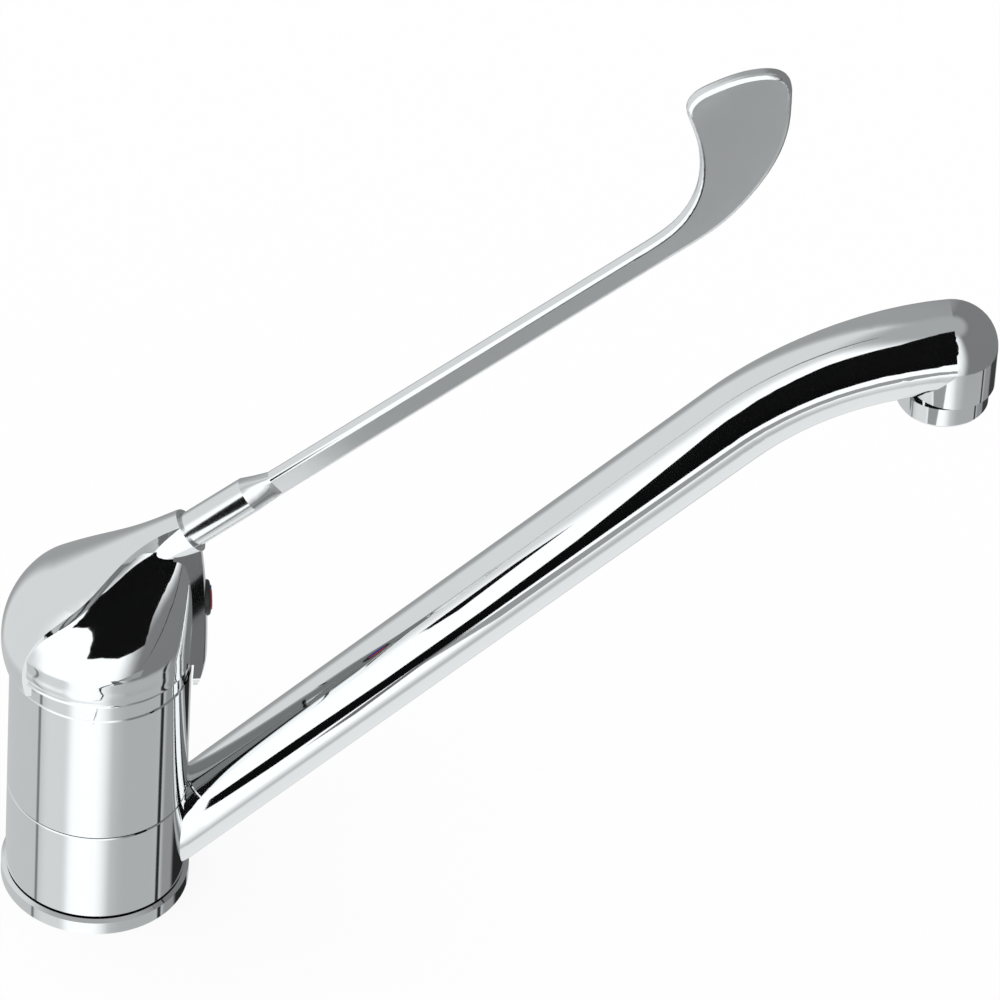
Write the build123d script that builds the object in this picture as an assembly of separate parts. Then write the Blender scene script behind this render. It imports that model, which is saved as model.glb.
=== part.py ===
from build123d import *
import os
from math import acos, asin, atan2, cos, degrees, radians, sin, sqrt, tan

os.makedirs("parts", exist_ok=True)

# A single-lever basin mixer with a swivel spout and a long elbow lever.
# The origin is at the middle of the flange underside, +Z up the column, the spout points to -Y.

# Column
body_r = 25.0
flange_proud = 1.2
flange_height = 5.0
flange_gap = 0.7
hub_height = 29.8
body_height = 44.2
ring_height = 5.8
seam = 0.3
edge_break = 0.3
body_wall = 4.8
ring_bevel = 1.0
ring_inset = 0.4

# Fits
fit = 0.05
running_fit = 0.08
easy_fit = 0.2

# Spigot, its seals and slide rings
spigot_step = 7.8
hub_bore_gap = 0.3
seal_groove_depth = 2.0
seal_height = 3.0
lower_seal_rise = 1.9
upper_seal_drop = 6.5
slide_ring_width = 4.2
slide_ring_depth = 1.5
gallery_depth = 3.2
gallery_rise = 6.3
gallery_drop = 9.5
clip_groove_depth = 1.0
clip_proud = 2.0
clip_bottom = 1.6
clip_thick = 1.2
clip_opening = 60.0
base_seal_width = 3.4
base_seal_rim = 2.0
base_seal_height = 2.0

# Water ways: hot and cold come up at the front, the mix goes down at the back
inlet_x = 7.8
inlet_y = -3.5
inlet_thread_r = 4.5
inlet_thread_length = 12.0
inlet_way_r = 2.6
mix_y = 8.5
mix_way_r = 3.2
disc_port_r = 2.8
stud_thread_r = 4.0
stud_thread_length = 12.0

# Cartridge
cavity_depth = 34.0
cartridge_gap = 0.4
cartridge_base_height = 6.0
peg_r = 1.8
peg_length = 3.0
peg_inset = 6.3
peg_y = 8.0
port_seal_r = 4.4
port_seal_height = 1.5
fixed_disc_height = 4.0
disc_rim = 4.0
moving_disc_height = 3.5
mix_pocket_depth = 2.2
mix_pocket_length = 18.0
mix_pocket_width = 7.4
mix_pocket_y = 5.8
carrier_height = 7.0
housing_wall = 2.6
housing_shoulder_height = 28.0
housing_step = 3.2
housing_height = 38.0
housing_lip = 1.9
rotor_wall = 2.1
rotor_rise = 22.3
rotor_length = 12.5
rotor_slot_length = 14.0
pivot_height = 29.0
pin_r = 2.5
pin_inset = 1.5
stem_side = 8.0
stem_drop = 5.0
stem_rise = 33.0
ball_r = 3.0
ball_drop = 11.0
ball_neck_r = 1.8
nut_thread_depth = 0.8
nut_corner_step = 1.0
nut_sides = 12
nut_rise = 5.0
nut_relief = 2.0

# Handle cap: skirt, hood, neck and apron, with heights above the top ring
skirt_proud = 1.0
skirt_shift = 0.6
skirt_wall = 1.0
skirt_cavity_shift = 0.4
skirt_gap = 0.3
shoulder_rise = 9.2
vault_rise = 23.6
vault_wall = 2.6
vault_shoulder_r = 9.4
hood_proud = 1.5
hood_centre_rise = 3.2
hood_lip_drop = 4.0
hood_side_inset = 10.6
hood_end_inset = 9.0
lever_angle = 38.65
socket_y = -23.5
socket_rise = 41.3
socket_r = 6.5
socket_depth = 14.0
socket_taper = 2.0
ridge_half_width = 3.7
neck_rim = 0.9
neck_inset = 0.6
neck_rear_inset = 0.8
neck_round = 6.0
neck_top_drop = 4.0
neck_slices = 14
skirt_slices = 4
slice_points = 8
hood_balls = 60
apron_proud = 3.0
apron_widest_rise = 0.2
apron_drop = 8.8
apron_rise = 40.2
apron_back_y = -18.5
apron_bottom_half_width = 11.0
apron_top_half_width = 5.0
apron_lip_gap = 1.6
apron_corner = 4.0
boss_r = 8.2
boss_rise = 2.2

# Grub screw and its plug
screw_rise = 16.2
screw_r = 3.0
screw_length = 9.0
screw_key_r = 1.6
screw_key_depth = 3.0
tunnel_r = 6.0
plug_r = 5.0
plug_shank_r = 4.0
plug_shank_length = 5.0
plug_rise = 1.2
plug_seat = 0.8
plug_edge_round = 0.8
mark_thick = 0.4
mark_gap = 0.5
mark_r = 3.4

# Lever
bar_r = 5.05
bar_length = 20.0
blend_length = 8.0
blade_thick = 4.0
blade_top = 2.3
blade_bottom = -5.0
blade_length = 149.0
blade_edge_round = 1.3

# Spout
tube_root_r = 10.9
tube_bend_r = 11.4
spout_angle = 43.82
spout_root_z = 20.86
bend_start_y = -169.4
bend_r = 94.7
bend_steps = 6
tube_wall = 2.4
port_r = 6.0
nozzle_y = -226.5
nose_reach = 1.3
nose_r = 12.6
nose_bottom = 173.5
collar_r = 12.6
collar_bottom = 166.2
collar_round = 1.5
aerator_thread_r = 10.8
aerator_depth = 9.0
aerator_mouth_r = 9.6
insert_r = 8.8
insert_height = 6.0
insert_lip = 0.8
insert_hole_r = 0.9
insert_hole_pitch = 3.2
insert_holes_across = 4
screen_thick = 0.6
washer_height = 1.6

# Column sizes that follow
flange_r = body_r + flange_proud
base_seal_outer_r = flange_r - base_seal_rim
base_seal_inner_r = base_seal_outer_r - base_seal_width
spigot_r = body_r - spigot_step
seal_groove_r = spigot_r - seal_groove_depth
slide_ring_outer_r = spigot_r + slide_ring_width
gallery_r = spigot_r + gallery_depth
clip_groove_r = spigot_r - clip_groove_depth
clip_outer_r = spigot_r + clip_proud
hub_bottom = flange_height + flange_gap
hub_top = hub_bottom + hub_height
body_bottom = hub_top + seam
body_top = body_bottom + body_height
ring_top = body_top + ring_height
hub_bore_r = spigot_r + hub_bore_gap
lower_seal_z = hub_bottom + lower_seal_rise
upper_seal_z = hub_top - upper_seal_drop
gallery_bottom = hub_bottom + gallery_rise
gallery_top = hub_top - gallery_drop
gallery_z = (gallery_bottom + gallery_top) / 2

# Cartridge sizes that follow
cavity_r = body_r - body_wall
cavity_floor = body_top - cavity_depth
housing_wall_r = cavity_r - cartridge_gap
housing_bore_r = housing_wall_r - housing_wall
housing_neck_r = housing_wall_r - housing_step
rotor_r = housing_neck_r - rotor_wall
housing_mouth_r = rotor_r - housing_lip
fixed_disc_r = housing_bore_r - easy_fit
moving_disc_r = fixed_disc_r - disc_rim
carrier_r = moving_disc_r - easy_fit
peg_x = housing_wall_r - peg_inset
pin_length = 2 * (rotor_r - pin_inset)
nut_thread_r = cavity_r + nut_thread_depth
nut_corner_r = nut_thread_r - nut_corner_step
fixed_disc_bottom = cavity_floor + cartridge_base_height
moving_disc_bottom = fixed_disc_bottom + fixed_disc_height
carrier_bottom = moving_disc_bottom + moving_disc_height
carrier_top = carrier_bottom + carrier_height
housing_shoulder = cavity_floor + housing_shoulder_height
housing_top = cavity_floor + housing_height
rotor_bottom = cavity_floor + rotor_rise
rotor_top = rotor_bottom + rotor_length
pivot_z = cavity_floor + pivot_height
stem_bottom = pivot_z - stem_drop
stem_top = pivot_z + stem_rise
ball_z = pivot_z - ball_drop
nut_top = body_top + nut_rise

# Spout sizes that follow
nose_y = nozzle_y - nose_reach
root_y = tube_root_r - body_r

# Handle cap and lever directions that follow
skirt_r = body_r + skirt_proud
skirt_cavity_r = skirt_r - skirt_wall
shoulder_z = ring_top + shoulder_rise
vault_r = skirt_cavity_r - vault_wall
vault_top = ring_top + vault_rise
hood_r = skirt_r + hood_proud
hood_half_width = skirt_r - hood_side_inset
hood_shoulder_y = skirt_r - hood_end_inset
hood_waist_y = -hood_shoulder_y
neck_rear_y = sqrt(hood_r**2 - hood_half_width**2) - neck_rear_inset
hood_centre_z = ring_top + hood_centre_rise
hood_lip_z = ring_top - hood_lip_drop
socket_z = ring_top + socket_rise
apron_r = skirt_r + apron_proud
apron_lip_r = body_r + apron_lip_gap
apron_widest_z = ring_top + apron_widest_rise
apron_bottom = ring_top - apron_drop
apron_top = ring_top + apron_rise
boss_bottom = ring_top + boss_rise
screw_z = ring_top + screw_rise
skirt_bottom = ring_top + skirt_gap
plug_face = -(apron_r - plug_seat)
slope = radians(lever_angle)
lever_out = Vector(0, -cos(slope), sin(slope))
lever_up = Vector(0, sin(slope), cos(slope))
socket_mouth = Vector(0, socket_y, socket_z)


def rod(radius, bottom, top, x=0, y=0):
    return Pos(x, y, (bottom + top) / 2) * Cylinder(radius, top - bottom)


def ring(outer, inner, bottom, top):
    return rod(outer, bottom, top) - rod(inner, bottom - 1, top + 1)


def turned(*points):
    """Solid of revolution of an outline of (radius, height) points."""
    outline = Polyline(*[(r, 0, z) for r, z in points], close=True)
    return revolve(make_face(outline), Axis.Z)


def across(radius, start, end, x=0, z=0):
    """Round bar along Y, from start to end."""
    middle = Pos(x, (start + end) / 2, z)
    return middle * Rot(90, 0, 0) * Cylinder(radius, abs(end - start))


def on_lever(along, above=0.0):
    """Point beside the lever axis, measured from the socket mouth."""
    return socket_mouth + lever_out * along + lever_up * above


def lever_plane(along):
    return Plane(on_lever(along), x_dir=(1, 0, 0), z_dir=lever_out)


# Base and column


def make_base_flange():
    body = turned(
        (spigot_r + fit, 0),
        (flange_r - edge_break, 0),
        (flange_r, edge_break),
        (flange_r, flange_height - 2 * edge_break),
        (body_r, flange_height),
        (spigot_r + fit, flange_height),
    )
    seal_groove = ring(base_seal_outer_r, base_seal_inner_r, -1, base_seal_height)
    clip_recess = rod(clip_outer_r + easy_fit, -1, clip_bottom + clip_thick)
    return body - seal_groove - clip_recess


def make_base_seal():
    return ring(base_seal_outer_r - fit, base_seal_inner_r + fit, 0, base_seal_height)


def make_retaining_clip():
    clip = ring(clip_outer_r, clip_groove_r + fit, clip_bottom, clip_bottom + clip_thick)
    reach = 2 * clip_outer_r
    half = radians(clip_opening / 2)
    corner_x = reach * sin(half)
    corner_y = reach * cos(half)
    wedge = Polyline((0, 0), (corner_x, corner_y), (-corner_x, corner_y), close=True)
    return clip - extrude(make_face(wedge), 2 * flange_height)


def make_valve_body():
    spigot = rod(spigot_r, 0, body_bottom + edge_break)
    housing = turned(
        (0, body_bottom),
        (body_r - edge_break, body_bottom),
        (body_r, body_bottom + edge_break),
        (body_r, body_top - edge_break),
        (body_r - edge_break, body_top),
        (0, body_top),
    )
    body = spigot + housing
    for z in (lower_seal_z, upper_seal_z):
        body -= ring(spigot_r + 1, seal_groove_r, z, z + seal_height)
    body -= ring(spigot_r + 1, clip_groove_r, clip_bottom, clip_bottom + clip_thick)
    body -= rod(cavity_r, cavity_floor, body_top + 1)
    body -= rod(nut_thread_r + fit, housing_shoulder - nut_relief, body_top + 1)
    for side in (-1, 1):
        body -= rod(inlet_thread_r, -1, inlet_thread_length, side * inlet_x, inlet_y)
        body -= rod(inlet_way_r, 0, cavity_floor + 1, side * inlet_x, inlet_y)
        body -= rod(peg_r + fit, cavity_floor - peg_length - 1, cavity_floor + 1, side * peg_x, peg_y)
    body -= rod(mix_way_r, gallery_z, cavity_floor + 1, 0, mix_y)
    body -= across(mix_way_r, mix_y, spigot_r + 2, 0, gallery_z)
    body -= rod(stud_thread_r, -1, stud_thread_length, 0, mix_y)
    return body


def make_hub_seal(bottom):
    lip = seal_height / 3
    return turned(
        (seal_groove_r + fit, bottom + fit),
        (hub_bore_r - running_fit - lip / 2, bottom + fit),
        (hub_bore_r - running_fit, bottom + lip),
        (hub_bore_r - running_fit, bottom + 2 * lip),
        (hub_bore_r - running_fit - lip / 2, bottom + seal_height - fit),
        (seal_groove_r + fit, bottom + seal_height - fit),
    )


def make_slide_ring(bottom, gap):
    return ring(slide_ring_outer_r, spigot_r + running_fit, bottom, bottom + slide_ring_depth + gap)


def make_top_ring():
    outer = body_r - ring_inset
    inner = nut_corner_r + easy_fit
    return turned(
        (inner, body_top),
        (outer, body_top),
        (outer, ring_top - ring_bevel),
        (outer - ring_bevel, ring_top),
        (inner, ring_top),
    )


# Cartridge


def water_ports(radius, bottom, top):
    """The three round ways through the cartridge floor and the fixed disc."""
    ports = rod(radius, bottom, top, 0, mix_y)
    for side in (-1, 1):
        ports += rod(radius, bottom, top, side * inlet_x, inlet_y)
    return ports


def make_cartridge_base():
    base = rod(housing_wall_r, cavity_floor, fixed_disc_bottom)
    for side in (-1, 1):
        base += rod(peg_r, cavity_floor - peg_length, cavity_floor + 1, side * peg_x, peg_y)
    base -= water_ports(mix_way_r, cavity_floor - 1, fixed_disc_bottom + 1)
    base -= water_ports(port_seal_r, cavity_floor - 1, cavity_floor + port_seal_height)
    return base


def make_cartridge_seals():
    top = cavity_floor + port_seal_height
    rings = water_ports(port_seal_r - fit, cavity_floor, top)
    return rings - water_ports(mix_way_r, cavity_floor - 1, top + 1)


def make_fixed_disc():
    top = moving_disc_bottom
    disc = rod(fixed_disc_r, fixed_disc_bottom, top)
    return disc - water_ports(disc_port_r, fixed_disc_bottom - 1, top + 1)


def make_moving_disc():
    disc = rod(moving_disc_r, moving_disc_bottom, carrier_bottom)
    pocket = Pos(0, mix_pocket_y) * SlotOverall(mix_pocket_length, mix_pocket_width)
    return disc - Pos(0, 0, moving_disc_bottom) * extrude(pocket, mix_pocket_depth)


def make_disc_carrier():
    carrier = rod(carrier_r, carrier_bottom, carrier_top)
    pocket_side = 2 * (ball_r + easy_fit)
    pocket_bottom = ball_z - ball_r - easy_fit
    pocket = Pos(0, 0, pocket_bottom) * extrude(Rectangle(pocket_side, pocket_side), carrier_top)
    return carrier - pocket


def make_cartridge_housing():
    return turned(
        (housing_bore_r, fixed_disc_bottom),
        (housing_wall_r, fixed_disc_bottom),
        (housing_wall_r, housing_shoulder),
        (housing_neck_r, housing_shoulder),
        (housing_neck_r, housing_top),
        (housing_mouth_r, housing_top),
        (housing_mouth_r, rotor_top + running_fit),
        (rotor_r + running_fit, rotor_top + running_fit),
        (rotor_r + running_fit, rotor_bottom - seam),
        (housing_bore_r, rotor_bottom - seam),
    )


def make_cartridge_rotor():
    rotor = rod(rotor_r, rotor_bottom, rotor_top)
    slot = extrude(Rectangle(stem_side + 2 * easy_fit, rotor_slot_length), rotor_top + 1)
    pin_hole = Pos(0, 0, pivot_z) * Rot(0, 90, 0) * Cylinder(pin_r + fit, 3 * rotor_r)
    return rotor - slot - pin_hole


def make_stem_pin():
    return Pos(0, 0, pivot_z) * Rot(0, 90, 0) * Cylinder(pin_r, pin_length)


def make_cartridge_stem():
    square = Pos(0, 0, stem_bottom) * extrude(Rectangle(stem_side, stem_side), stem_top - stem_bottom)
    square = chamfer(square.faces().sort_by(Axis.Z)[-1].edges(), edge_break)
    neck = rod(ball_neck_r, ball_z, stem_bottom + 1)
    ball = Pos(0, 0, ball_z) * Sphere(ball_r)
    pin_hole = Pos(0, 0, pivot_z) * Rot(0, 90, 0) * Cylinder(pin_r + fit, 2 * stem_side)
    return square + neck + ball - pin_hole


def make_cartridge_nut():
    thread = rod(nut_thread_r, housing_shoulder, body_top)
    drive = Pos(0, 0, body_top) * extrude(RegularPolygon(nut_corner_r, nut_sides), nut_top - body_top)
    return thread + drive - rod(housing_neck_r + easy_fit, housing_shoulder - 1, nut_top + 1)


# Handle cap


def hood_outline():
    """Plan of the hood: a teardrop, broad at the rear and narrow at the socket."""
    rear = hood_r + 1
    waist = (ridge_half_width, hood_waist_y)
    shoulder = (hood_half_width, hood_shoulder_y)
    neck = Polyline((0, rear), (0, socket_y), (ridge_half_width, socket_y), waist)
    side = Spline(waist, shoulder, tangents=[(0, 1), (0, 1)])
    back = Polyline(shoulder, (hood_half_width, rear), (0, rear))
    half = make_face([neck, side, back])
    return half + mirror(half, Plane.YZ)


def hood_width_at(y):
    """Half width of the hood's plan at this place."""
    share = (y - hood_waist_y) / (hood_shoulder_y - hood_waist_y)
    share = min(max(share, 0), 1)
    return ridge_half_width + (hood_half_width - ridge_half_width) * share**2 * (3 - 2 * share)


def hood_axis():
    """Direction from the hood's ball to the socket, and the lean of the ridge against it."""
    span = socket_mouth - Vector(0, 0, hood_centre_z)
    return span, asin((hood_r - socket_r) / span.length)


def hood_height_at(x, y):
    """Height of the hood's upper side, the envelope of balls between its rear and the socket."""
    span, _ = hood_axis()
    heights = []
    for step in range(hood_balls + 1):
        share = step / hood_balls
        radius = hood_r + share * (socket_r - hood_r)
        room = radius**2 - x**2 - (y - share * span.Y) ** 2
        if room > 0:
            heights.append(hood_centre_z + share * span.Z + sqrt(room))
    return max(heights)


def cap_hood():
    """Ball at the rear and a straight cone up to the socket, cut to the teardrop plan."""
    centre = Vector(0, 0, hood_centre_z)
    span, lean = hood_axis()
    aim = span.normalized()
    low = centre + aim * hood_r * sin(lean)
    high = socket_mouth + aim * socket_r * sin(lean)
    cone = Cone(hood_r * cos(lean), socket_r * cos(lean), (high - low).length)
    cone = Plane((low + high) / 2, z_dir=aim) * cone
    ball = Pos(0, 0, hood_centre_z) * Sphere(hood_r)
    plan = Pos(0, 0, hood_lip_z) * extrude(hood_outline(), socket_z)
    return (ball + cone) & plan


def crease_y_at(z):
    """Place where the hood's edge comes down to this height."""
    front, rear = socket_y, neck_rear_y
    if z <= shoulder_z:
        return rear
    for _ in range(30):
        y = (front + rear) / 2
        if hood_height_at(hood_width_at(y), y) - neck_rim > z:
            front = y
        else:
            rear = y
    return rear


def neck_width_at(turn, z):
    """Half width of the neck: round at the skirt, hollow further up, the hood's plan at its edge."""
    foot_x = skirt_r * sin(turn)
    y = skirt_shift - skirt_r * cos(turn)
    past = max(skirt_shift - skirt_r + neck_round - y, 0) / neck_round
    top_x = (hood_width_at(y) - neck_inset) * sqrt(max(1 - past**2, 0))
    top_z = hood_height_at(top_x, max(y, socket_y)) - neck_rim
    share = min(max((top_z - z) / (top_z - shoulder_z), 0), 1)
    if z <= shoulder_z:
        share = 1
    return top_x + (foot_x - top_x) * share**2 * (3 - 2 * share), y


def neck_slice(z):
    """Level slice of the cap below the hood, closed behind the hood's edge."""
    last = acos((skirt_shift - crease_y_at(z)) / skirt_r)
    points = []
    for step in range(-slice_points, slice_points + 1):
        x, y = neck_width_at(last * abs(step) / slice_points, z)
        points.append((x if step > 0 else -x, y))
    side = Spline(*points)
    return Pos(0, 0, z) * make_face([side, Line(points[-1], points[0])])


def cap_neck():
    """Skirt and neck in one form: round below, with hollow sides up to the socket."""
    slices = []
    for step in range(skirt_slices):
        slices.append(neck_slice(skirt_bottom + step / skirt_slices * shoulder_rise))
    neck_rise = socket_z - neck_top_drop - shoulder_z
    for step in range(neck_slices + 1):
        slices.append(neck_slice(shoulder_z + step / neck_slices * neck_rise))
    return loft(slices)


def cap_barrel():
    """Socket for the lever's root."""
    return lever_plane(-socket_depth / 2) * Cone(socket_r - socket_taper, socket_r, socket_depth)


def cap_apron():
    """Tongue down the front, proud of the skirt and curved back under the seam."""
    outline = Polyline(
        (-apron_top_half_width, apron_top),
        (apron_top_half_width, apron_top),
        (apron_bottom_half_width, apron_bottom),
        (-apron_bottom_half_width, apron_bottom),
        close=True,
    )
    tongue = extrude(Plane.XZ.offset(-apron_back_y) * make_face(outline), 2 * apron_r)
    lower = fillet(tongue.edges().filter_by(Axis.Y).group_by(Axis.Z)[0], apron_corner)
    lip = (apron_lip_r + seam, apron_bottom)
    widest = (apron_r, apron_widest_z)
    crest = (skirt_r, apron_top)
    curl = TangentArc(widest, lip, tangent=(0, -1))
    front = TangentArc(widest, crest, tangent=(0, 1))
    back = Polyline(crest, (0, apron_top), (0, apron_bottom), lip)
    envelope = revolve(Plane.XZ * make_face([curl, front, back]), Axis.Z)
    return lower & envelope


def cap_cavity():
    """Room for the ring, the nut and the cartridge neck while the cap tilts."""
    straight = rod(skirt_cavity_r, body_bottom, shoulder_z, 0, skirt_cavity_shift)
    rise = vault_top - shoulder_z
    inset = vault_r - vault_shoulder_r
    crown_r = (inset**2 + rise**2 - vault_shoulder_r**2) / (2 * (rise - vault_shoulder_r))
    meet = degrees(atan2(crown_r - rise, inset))
    shoulder = CenterArc((inset, shoulder_z), vault_shoulder_r, 0, meet)
    crown = CenterArc((0, vault_top - crown_r), crown_r, meet, 90 - meet)
    close = Polyline((0, vault_top), (0, shoulder_z), (vault_r, shoulder_z))
    vault = revolve(Plane.XZ * make_face([shoulder, crown, close]), Axis.Z)
    return straight + vault


def beyond_mouth():
    """Everything past the plane of the socket's mouth."""
    reach = 4 * hood_r
    return lever_plane(reach / 2) * Box(reach, reach, reach)


def make_handle_cap():
    cap = cap_neck() + cap_hood() + cap_barrel() + cap_apron()
    cap -= beyond_mouth()
    cap -= cap_cavity()
    front_half = Pos(0, -apron_r, apron_bottom) * Box(2 * apron_r, 2 * apron_r, 2 * body_height)
    cap -= rod(apron_lip_r, apron_bottom - 1, skirt_bottom) & front_half
    boss = rod(boss_r, boss_bottom, vault_top + skirt_wall)
    tunnel = across(tunnel_r, 0, -skirt_cavity_r - seam, 0, screw_z)
    cap += boss + tunnel
    socket = extrude(Rectangle(stem_side + 2 * fit, stem_side + 2 * fit), stem_top + fit)
    cap -= socket
    cap -= across(screw_r + fit, 0, -2 * apron_r, 0, screw_z)
    cap -= across(plug_shank_r + fit, plug_face + plug_shank_length + fit, -2 * apron_r, 0, screw_z)
    cap -= across(plug_r + fit, plug_face + plug_seat, -2 * apron_r, 0, screw_z)
    cap -= lever_plane(0) * Cylinder(bar_r + fit, 2 * socket_depth)
    return cap


def make_handle_screw():
    start = -stem_side / 2
    screw = across(screw_r, start - fit, start - screw_length, 0, screw_z)
    key = across(screw_key_r, start - screw_length + screw_key_depth, start - screw_length - 1, 0, screw_z)
    return screw - key


def make_indicator_plug():
    shank = across(plug_shank_r, plug_face + plug_shank_length, plug_face, 0, screw_z)
    head = across(plug_r, plug_face + plug_seat, plug_face - plug_rise, 0, screw_z)
    head = fillet(head.faces().sort_by(Axis.Y)[0].edges(), plug_edge_round)
    return shank + head


def make_mark(side):
    disc = across(mark_r, plug_face - plug_rise, plug_face - plug_rise - mark_thick, 0, screw_z)
    half = Pos(side * (mark_r + mark_gap), plug_face - plug_rise, screw_z) * Box(2 * mark_r, 4, 4 * mark_r)
    return disc & half


# Lever


def blade_outline():
    """Blade and upturned paddle from the side, along and above the lever axis."""
    root = bar_length + blend_length

    def paddle(beyond, above):
        return (blade_length + beyond, above)

    upper = Line((root, blade_top), paddle(0, blade_top))
    inner = Spline(
        paddle(0, blade_top),
        paddle(18.2, 4.2),
        paddle(28.9, 11.3),
        paddle(35.8, 21.1),
        paddle(40.2, 32.4),
        tangents=[(1, 0), (0.35, 1)],
    )
    heel_points = (paddle(40.2, 32.4), paddle(44.4, 36.0), paddle(52.3, 35.6))
    heel = Spline(*heel_points, tangents=[(0.35, 1), (1, -0.2)])
    crest = Spline(
        paddle(52.3, 35.6),
        paddle(62.8, 31.8),
        paddle(67.4, 26.8),
        paddle(66.2, 21.1),
        tangents=[(1, -0.2), (-0.6, -0.8)],
    )
    outer = Spline(
        paddle(66.2, 21.1),
        paddle(58.7, 11.8),
        paddle(46.7, 2.8),
        paddle(30.8, -3.3),
        paddle(0, blade_bottom),
        tangents=[(-0.6, -0.8), (-1, 0)],
    )
    lower = Line(paddle(0, blade_bottom), (root, blade_bottom))
    end = Line((root, blade_bottom), (root, blade_top))
    return make_face([upper, inner, heel, crest, outer, lower, end])


def make_lever_arm():
    bar = lever_plane((bar_length - socket_depth) / 2) * Cylinder(bar_r, bar_length + socket_depth)
    height = blade_top - blade_bottom
    blade_root = lever_plane(bar_length + blend_length)
    blade_root.origin += lever_up * (blade_top + blade_bottom) / 2
    round_end = lever_plane(bar_length) * Circle(bar_r)
    flat_end = blade_root * RectangleRounded(blade_thick, height, blade_edge_round)
    blend = loft([round_end, flat_end])
    side = Plane(socket_mouth, x_dir=lever_out, z_dir=(-1, 0, 0))
    blade = extrude(side * blade_outline(), blade_thick / 2, both=True)
    rims = blade.edges().filter_by(lambda e: abs(abs(e.center().X) - blade_thick / 2) < fit)
    rims = [e for e in rims if (e.center() - blade_root.origin).length > height / 1.5]
    blade = fillet(rims, blade_edge_round)
    return bar + blend + blade


# Spout


def line_point(y):
    """Point of the straight centre line, which leaves the hub's surface at the root height."""
    return y, spout_root_z - (body_r + y) * tan(radians(spout_angle))


def bend_point(angle):
    """Point of the bend where the centre line rises at this angle."""
    y, z = line_point(bend_start_y)
    first = radians(spout_angle)
    now = radians(angle)
    return y - bend_r * (sin(first) - sin(now)), z + bend_r * (cos(now) - cos(first))


def nose_angle():
    """Rise of the centre line at the nose."""
    return degrees(asin(sin(radians(spout_angle)) - (bend_start_y - nose_y) / bend_r))


def spout_frame(y, z, angle):
    turn = radians(angle)
    return Plane((0, y, z), x_dir=(1, 0, 0), z_dir=(0, -cos(turn), sin(turn)))


def spout_skin(inset):
    """Tube from the hub to the nose, smaller by the inset and as wide as the nose at its end."""
    length = (root_y - bend_start_y) / cos(radians(spout_angle))
    cone = Cone(tube_root_r - inset, tube_bend_r - inset, length)
    straight = spout_frame(*line_point((root_y + bend_start_y) / 2), spout_angle) * cone
    sections = []
    for step in range(bend_steps + 1):
        share = step / bend_steps
        angle = spout_angle + share * (nose_angle() - spout_angle)
        radius = tube_bend_r + share**3 * (4 - 3 * share) * (nose_r - tube_bend_r)
        sections.append(spout_frame(*bend_point(angle), angle) * Circle(radius - inset))
    return straight + loft(sections)


def spout_nose():
    """Rounded end over the nozzle, with the ball's poles turned inwards."""
    _, z = bend_point(nose_angle())
    ball = Pos(0, nose_y, z) * Rot(-45, 0, 0) * Sphere(nose_r)
    foot = Pos(0, nose_y, 0) * Rot(0, 0, -90) * rod(nose_r, nose_bottom, z)
    return ball + foot


def make_spout_hub():
    """Ring that turns on the spigot, with the water port to the tube."""
    hub = turned(
        (0, hub_bottom),
        (body_r - edge_break, hub_bottom),
        (body_r, hub_bottom + edge_break),
        (body_r, hub_top - edge_break),
        (body_r - edge_break, hub_top),
        (0, hub_top),
    )
    recess_r = slide_ring_outer_r + easy_fit
    hub -= rod(hub_bore_r, 0, hub_top + 1)
    hub -= rod(gallery_r, gallery_bottom, gallery_top)
    hub -= rod(recess_r, 0, hub_bottom + slide_ring_depth)
    hub -= rod(recess_r, hub_top - slide_ring_depth, hub_top + 1)
    return hub - across(port_r, -hub_bore_r, -body_r - 1, 0, gallery_z)


def make_spout():
    """Tube and nose, saddled on the hub."""
    spout = spout_skin(0) + spout_nose() - spout_skin(tube_wall)
    spout -= rod(aerator_thread_r + fit, nose_bottom - 1, nose_bottom + aerator_depth, 0, nozzle_y)
    spout -= rod(collar_r + easy_fit, collar_bottom, nose_bottom, 0, nozzle_y)
    spout -= rod(flange_r + easy_fit, -hub_bottom, hub_bottom)
    spout -= rod(body_r, -hub_top, hub_top)
    return spout - rod(body_r + seam, hub_top, body_top)


# Aerator


def make_aerator_housing():
    top = nose_bottom + aerator_depth - washer_height
    outline = turned(
        (aerator_mouth_r, collar_bottom),
        (collar_r - collar_round, collar_bottom),
        (collar_r - 0.4 * collar_round, collar_bottom + 0.4 * collar_round),
        (collar_r, collar_bottom + collar_round),
        (collar_r, nose_bottom),
        (aerator_thread_r, nose_bottom),
        (aerator_thread_r, top),
        (insert_r + fit, top),
        (insert_r + fit, top - insert_height),
        (insert_r - insert_lip, top - insert_height),
    )
    return Pos(0, nozzle_y, 0) * outline


def make_aerator_insert():
    top = nose_bottom + aerator_depth - washer_height
    insert = rod(insert_r, top - insert_height, top - screen_thick, 0, nozzle_y)
    hole = Cylinder(insert_hole_r, 3 * insert_height)
    grid = GridLocations(insert_hole_pitch, insert_hole_pitch, insert_holes_across, insert_holes_across)
    return insert - [Pos(0, nozzle_y, top) * place * hole for place in grid]


def make_aerator_screen():
    top = nose_bottom + aerator_depth - washer_height
    return rod(insert_r, top - screen_thick, top, 0, nozzle_y)


def make_aerator_washer():
    top = nose_bottom + aerator_depth
    washer = rod(aerator_thread_r - fit, top - washer_height, top, 0, nozzle_y)
    return washer - rod(insert_r - insert_lip, top - 2 * washer_height, top + 1, 0, nozzle_y)


def save(name, part):
    export_step(part, f"parts/{name}.step")


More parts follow.
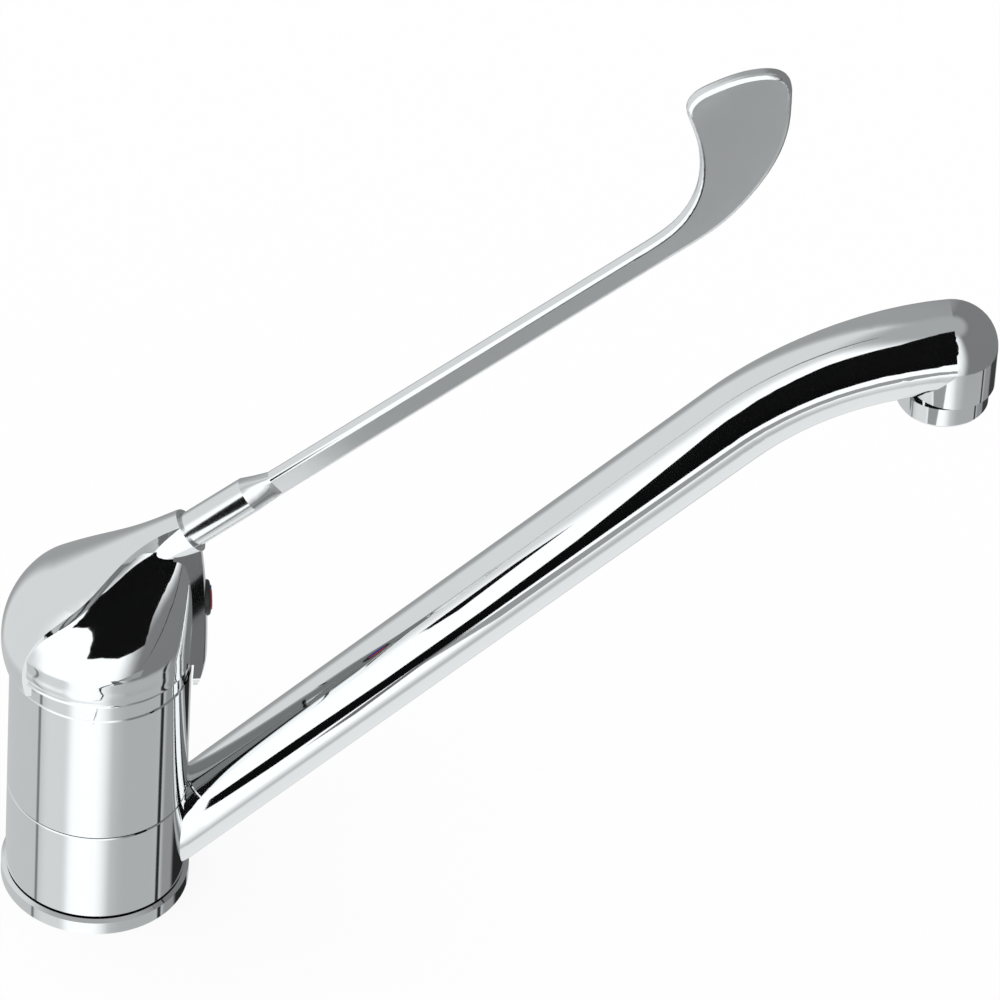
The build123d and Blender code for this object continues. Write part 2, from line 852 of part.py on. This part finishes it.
save("base_flange", make_base_flange())
save("base_seal", make_base_seal())
save("retaining_clip", make_retaining_clip())
save("valve_body", make_valve_body())
save("hub_seal_lower", make_hub_seal(lower_seal_z))
save("hub_seal_upper", make_hub_seal(upper_seal_z))
save("slide_ring_lower", make_slide_ring(flange_height, flange_gap))
save("slide_ring_upper", make_slide_ring(hub_top - slide_ring_depth, seam))
save("top_ring", make_top_ring())
save("cartridge_base", make_cartridge_base())
save("cartridge_seals", make_cartridge_seals())
save("fixed_disc", make_fixed_disc())
save("moving_disc", make_moving_disc())
save("disc_carrier", make_disc_carrier())
save("cartridge_housing", make_cartridge_housing())
save("cartridge_rotor", make_cartridge_rotor())
save("stem_pin", make_stem_pin())
save("cartridge_stem", make_cartridge_stem())
save("cartridge_nut", make_cartridge_nut())
save("handle_cap", make_handle_cap())
save("handle_screw", make_handle_screw())
save("indicator_plug", make_indicator_plug())
save("hot_mark", make_mark(-1))
save("cold_mark", make_mark(1))
save("lever_arm", make_lever_arm())
save("spout_hub", make_spout_hub())
save("spout", make_spout())
save("aerator_housing", make_aerator_housing())
save("aerator_insert", make_aerator_insert())
save("aerator_screen", make_aerator_screen())
save("aerator_washer", make_aerator_washer())
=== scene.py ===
from math import cos, radians, sin

import bpy
from mathutils import Matrix, Vector

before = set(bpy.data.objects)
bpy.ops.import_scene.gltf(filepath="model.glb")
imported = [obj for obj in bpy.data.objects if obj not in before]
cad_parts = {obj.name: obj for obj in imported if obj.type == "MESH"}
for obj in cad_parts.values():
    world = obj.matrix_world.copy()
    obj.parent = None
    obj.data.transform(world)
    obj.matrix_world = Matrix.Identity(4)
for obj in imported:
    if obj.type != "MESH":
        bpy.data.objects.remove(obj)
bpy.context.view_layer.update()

# The view of the photograph: a long lens, high on the left of the tap.
camera_place = Vector((-2.19320, 0.20067, 2.14156))
camera_aim = Vector((0.008137, -0.108705, 0.127012))
camera_roll = radians(3.53)
lens_mm = 396.0
sensor_mm = 36.0
clip_near = 0.05
clip_far = 50.0

# The pale floor: its own tone, and the white glow that makes up most of what the camera sees of it.
floor_size = 6.0
floor_tone = 0.9
floor_glow = 1.03
floor_glow_share = 0.85

# The studio's plain light, and the tones that reflections find in its walls.
light_strength = 0.9
cool = (0.97, 0.99, 1.0)
white_wall = 1.15
light_wall = 0.74
pale_wall = 0.72
grey_wall = 0.46
mid_wall = 0.36
dim_wall = 0.3
dusk_wall = 0.2
dark_wall = 0.02

# Two rings of wall. The upright column mirrors the low one; the cap, lever and spout mirror the high
# one too. A panel is its azimuth, half width and soft edge in degrees, and its tone.
low_base = 0.58
low_panels = [
    (160, 20, 16, white_wall),
    (118, 14, 10, pale_wall),
    (232, 30, 14, grey_wall),
    (94, 1.5, 1.5, dusk_wall),
    (263, 2.5, 1.5, dark_wall),
    (282, 12, 4, dim_wall),
    (312, 20, 4, dark_wall),
]
high_base = 0.21
high_panels = [
    (114, 88, 14, white_wall),
    (60, 44, 12, light_wall),
    (10, 14, 12, mid_wall),
]

# Where the surround changes, as the Z of a unit vector that points to it: between the two rings, to
# the foot straight down, which the spout's underside mirrors, and to the part overhead.
ring_split = -0.63
ring_blend = 0.06
foot_full = -0.86
foot_start = -0.78
foot_tone = 0.85
overhead_start = 0.8
overhead_full = 0.95
overhead_tone = 0.42

# Cards that only reflections show: tone, centre, the directions along and across, and the outline in
# them, in metres. The dark ones make the band along the spout and the black hollow of the cap. The
# grey ones lie on the floor, for the lever's flat side and the side of the apron.
dark_card = 0.004
lever_grey = 0.34
apron_grey = 0.16
cards = {
    "tube_card": (
        dark_card,
        (-0.1386, -0.1991, 0.2069),
        (0.7881, 0.6155, 0.0),
        (-0.3646, 0.4669, -0.8056),
        [(0.065, -0.15), (0.0, -0.11), (-0.07, -0.05), (-0.1, 0.0), (-0.12, 0.045),
         (-0.12, 0.08), (-0.03, 0.09), (0.02, 0.14), (0.06, 0.21), (0.12, 0.25),
         (0.16, 0.245), (0.185, 0.215), (0.165, 0.19), (0.14, 0.17), (0.122, 0.14),
         (0.116, 0.1), (0.127, 0.03), (0.105, -0.04), (0.075, -0.08)],
    ),
    "cap_card": (
        dark_card,
        (-0.05, -0.006, 0.149),
        (0.0, 1.0, 0.0),
        (0.0, 0.0, 1.0),
        [(-0.024, -0.026), (0.0, -0.026), (0.014, -0.02), (0.026, -0.018), (0.026, 0.02),
         (-0.024, 0.02)],
    ),
    "lever_card": (
        lever_grey,
        (-0.285, -0.18, 0.001),
        (-0.743, -0.669, 0.0),
        (-0.669, 0.743, 0.0),
        [(-0.154, -0.05), (0.154, -0.05), (0.154, 0.05), (-0.154, 0.05)],
    ),
    "apron_card": (
        apron_grey,
        (-0.2, -0.042, 0.001),
        (1.0, 0.0, 0.0),
        (0.0, 1.0, 0.0),
        [(-0.05, -0.012), (0.07, -0.012), (0.07, 0.012), (-0.05, 0.012)],
    ),
}

# Fine noise in the materials: the cloud varies tint and roughness, the grain is the relief.
cloud_noise = {"Scale": 60.0, "Detail": 4.0, "Roughness": 0.6}
grain_noise = {"Detail": 2.0, "Roughness": 0.5}
chrome_colour = (0.89, 0.905, 0.91)

node_finish = {
    "base_flange": "chrome",
    "base_seal": "rubber",
    "retaining_clip": "steel",
    "valve_body": "chrome",
    "hub_seal_lower": "rubber",
    "hub_seal_upper": "rubber",
    # The slide rings are white plastic. They get the dark finish as painted shade, so that the
    # grooves at the seams where they show read as dark lines.
    "slide_ring_lower": "dark",
    "slide_ring_upper": "dark",
    "top_ring": "chrome",
    "cartridge_base": "plastic",
    "cartridge_seals": "rubber",
    "fixed_disc": "ceramic",
    "moving_disc": "ceramic",
    "disc_carrier": "plastic",
    "cartridge_housing": "plastic",
    "cartridge_rotor": "plastic",
    "stem_pin": "steel",
    "cartridge_stem": "brass",
    "cartridge_nut": "brass",
    "handle_cap": "chrome",
    "handle_screw": "steel",
    "indicator_plug": "dark",
    "hot_mark": "red",
    "cold_mark": "blue",
    "lever_arm": "satin",
    "spout_hub": "chrome",
    "spout": "chrome",
    "aerator_housing": "chrome",
    "aerator_insert": "plastic",
    "aerator_screen": "steel",
    "aerator_washer": "rubber",
}


class Nodes:
    """Short way to build a node tree. A source is a node and the name of its output."""

    def __init__(self, tree):
        self.tree = tree
        self.tree.nodes.clear()

    def add(self, kind, **values):
        """New node with these settings and input values; an input's name has _ for a space."""
        node = self.tree.nodes.new(kind)
        for name, value in values.items():
            if hasattr(node, name):
                setattr(node, name, value)
            else:
                node.inputs[name.replace("_", " ")].default_value = value
        return node

    def join(self, source, output, target, slot):
        self.tree.links.new(source.outputs[output], target.inputs[slot])

    def step(self, source, start, end):
        """Source of a smooth rise from 0 at start to 1 at end."""
        rise = self.add(
            "ShaderNodeMapRange", interpolation_type="SMOOTHSTEP", From_Min=start, From_Max=end
        )
        self.join(*source, rise, "Value")
        return rise, "Result"

    def blend(self, factor, low, high):
        """Source of the mix of two tones, each of them a number or a source."""
        mix = self.add("ShaderNodeMix", data_type="FLOAT")
        self.join(*factor, mix, "Factor")
        for slot, tone in (("A", low), ("B", high)):
            if isinstance(tone, tuple):
                self.join(*tone, mix, slot)
            else:
                mix.inputs[slot].default_value = tone
        return mix, "Result"

    def end(self, shader, output, kind="ShaderNodeOutputMaterial"):
        self.join(shader, output, self.add(kind), "Surface")


def camera():
    data = bpy.data.cameras.new("camera")
    data.lens = lens_mm
    data.sensor_width = sensor_mm
    data.clip_start = clip_near
    data.clip_end = clip_far
    ahead = (camera_aim - camera_place).normalized()
    right = ahead.cross(Vector((0, 0, 1))).normalized()
    up = right.cross(ahead)
    level = Matrix((right, up, -ahead)).transposed()
    turned = level @ Matrix.Rotation(camera_roll, 3, "Z")
    obj = bpy.data.objects.new("camera", data)
    obj.matrix_world = Matrix.Translation(camera_place) @ turned.to_4x4()
    bpy.context.scene.collection.objects.link(obj)
    bpy.context.scene.camera = obj


def new_material(name):
    material = bpy.data.materials.new(name)
    material.use_nodes = True
    return material, Nodes(material.node_tree)


def surface(name, base, metallic, roughness, relief, tone=0.02, spread=0.03, grain_scale=400.0):
    """Principled material that varies with fine noise.

    The colour varies by tone, as a share, the roughness by spread, and relief is in metres.
    """
    material, nodes = new_material(name)
    place = nodes.add("ShaderNodeTexCoord")
    cloud = nodes.add("ShaderNodeTexNoise", **cloud_noise)
    nodes.join(place, "Object", cloud, "Vector")
    darker = [c * (1 - tone) for c in base]
    lighter = [min(1.0, c * (1 + tone)) for c in base]
    tint = nodes.add("ShaderNodeMix", data_type="RGBA", A=(*darker, 1), B=(*lighter, 1))
    nodes.join(cloud, "Fac", tint, "Factor")
    matt = nodes.add(
        "ShaderNodeMapRange", To_Min=max(0.0, roughness - spread), To_Max=roughness + spread
    )
    nodes.join(cloud, "Fac", matt, "Value")
    grain = nodes.add("ShaderNodeTexNoise", Scale=grain_scale, **grain_noise)
    nodes.join(place, "Object", grain, "Vector")
    bump = nodes.add("ShaderNodeBump", Strength=1.0, Distance=relief)
    nodes.join(grain, "Fac", bump, "Height")
    shader = nodes.add("ShaderNodeBsdfPrincipled", Metallic=metallic)
    nodes.join(tint, "Result", shader, "Base Color")
    nodes.join(matt, "Result", shader, "Roughness")
    nodes.join(bump, "Normal", shader, "Normal")
    nodes.end(shader, "BSDF")
    return material


def materials():
    return {
        "chrome": surface(
            "chrome", chrome_colour, 1.0, 0.05, 2e-6, spread=0.02, grain_scale=220.0
        ),
        "satin": surface(
            "satin_chrome", chrome_colour, 1.0, 0.16, 4e-6, spread=0.04, grain_scale=300.0
        ),
        # The dark finish is the indicator plug's own colour, and also painted shade on the slide
        # rings in the seam grooves.
        "dark": surface("dark_plastic_and_groove_shade", (0.02, 0.021, 0.023), 0.0, 0.35, 6e-6),
        "red": surface("red_mark", (0.55, 0.02, 0.02), 0.0, 0.3, 4e-6),
        "blue": surface("blue_mark", (0.02, 0.06, 0.45), 0.0, 0.3, 4e-6),
        "rubber": surface("rubber", (0.03, 0.03, 0.032), 0.0, 0.7, 1e-5, tone=0.2),
        "plastic": surface("white_plastic", (0.75, 0.75, 0.72), 0.0, 0.4, 8e-6),
        "brass": surface("brass", (0.72, 0.55, 0.25), 1.0, 0.28, 1e-5, tone=0.08),
        "steel": surface("steel", (0.6, 0.6, 0.6), 1.0, 0.3, 5e-6),
        "ceramic": surface("ceramic", (0.88, 0.87, 0.83), 0.0, 0.15, 2e-6),
    }


def dress(finishes):
    for name, finish in node_finish.items():
        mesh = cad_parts[name].data
        mesh.materials.clear()
        mesh.materials.append(finishes[finish])


def floor():
    material, nodes = new_material("floor")
    plain = nodes.add("ShaderNodeBsdfDiffuse", Color=(floor_tone, floor_tone, floor_tone, 1))
    glow = nodes.add("ShaderNodeEmission", Color=(1, 1, 1, 1), Strength=floor_glow)
    path = nodes.add("ShaderNodeLightPath")
    share = nodes.add("ShaderNodeMath", operation="MULTIPLY")
    share.inputs[1].default_value = floor_glow_share
    nodes.join(path, "Is Camera Ray", share, 0)
    mix = nodes.add("ShaderNodeMixShader")
    nodes.join(share, "Value", mix, "Fac")
    nodes.join(plain, "BSDF", mix, 1)
    nodes.join(glow, "Emission", mix, 2)
    nodes.end(mix, "Shader")
    bpy.ops.mesh.primitive_plane_add(size=floor_size)
    plane = bpy.context.object
    plane.name = "floor"
    plane.visible_glossy = False
    plane.data.materials.append(material)


def card(name, tone, centre, along, across, outline):
    """Flat card that only the reflections show."""
    material, nodes = new_material(name)
    glow = nodes.add("ShaderNodeEmission", Color=(*cool, 1), Strength=tone)
    nodes.end(glow, "Emission")
    corners = [Vector(centre) + Vector(along) * u + Vector(across) * v for u, v in outline]
    mesh = bpy.data.meshes.new(name)
    mesh.from_pydata([tuple(corner) for corner in corners], [], [tuple(range(len(corners)))])
    mesh.materials.append(material)
    obj = bpy.data.objects.new(name, mesh)
    bpy.context.scene.collection.objects.link(obj)
    obj.visible_camera = False
    obj.visible_diffuse = False
    obj.visible_shadow = False
    obj.visible_transmission = False


def wall_ring(nodes, heading, base, panels):
    """Tone of the studio wall in each horizontal direction."""
    tone = base
    for azimuth, half, soft, value in panels:
        aim = nodes.add("ShaderNodeVectorMath", operation="DOT_PRODUCT")
        aim.inputs[1].default_value = (cos(radians(azimuth)), sin(radians(azimuth)), 0)
        nodes.join(*heading, aim, 0)
        edge = cos(radians(half + soft))
        full = cos(radians(max(half - soft, 0)))
        tone = nodes.blend(nodes.step((aim, "Value"), edge, full), tone, value)
    return tone


def studio():
    """Plain white light all round; only the reflections see the walls' tones."""
    world = bpy.data.worlds.new("studio")
    bpy.context.scene.world = world
    world.use_nodes = True
    nodes = Nodes(world.node_tree)
    place = nodes.add("ShaderNodeTexCoord")
    parts = nodes.add("ShaderNodeSeparateXYZ")
    nodes.join(place, "Generated", parts, "Vector")
    flat = nodes.add("ShaderNodeVectorMath", operation="MULTIPLY")
    flat.inputs[1].default_value = (1, 1, 0)
    nodes.join(place, "Generated", flat, 0)
    unit = nodes.add("ShaderNodeVectorMath", operation="NORMALIZE")
    nodes.join(flat, "Vector", unit, 0)
    heading = (unit, "Vector")
    height = (parts, "Z")
    low = wall_ring(nodes, heading, low_base, low_panels)
    high = wall_ring(nodes, heading, high_base, high_panels)
    above_split = nodes.step(height, ring_split - ring_blend, ring_split + ring_blend)
    walls = nodes.blend(above_split, low, high)
    above_foot = nodes.step(height, foot_full, foot_start)
    lower = nodes.blend(above_foot, foot_tone, walls)
    overhead = nodes.step(height, overhead_start, overhead_full)
    tone = nodes.blend(overhead, lower, overhead_tone)
    seen = nodes.add("ShaderNodeBackground", Color=(*cool, 1))
    nodes.join(*tone, seen, "Strength")
    light = nodes.add("ShaderNodeBackground", Color=(1, 1, 1, 1), Strength=light_strength)
    path = nodes.add("ShaderNodeLightPath")
    mix = nodes.add("ShaderNodeMixShader")
    nodes.join(path, "Is Glossy Ray", mix, "Fac")
    nodes.join(light, "Background", mix, 1)
    nodes.join(seen, "Background", mix, 2)
    nodes.end(mix, "Shader", "ShaderNodeOutputWorld")


camera()
dress(materials())
floor()
studio()
for card_name, values in cards.items():
    card(card_name, *values)
bpy.context.scene.view_settings.view_transform = "Standard"
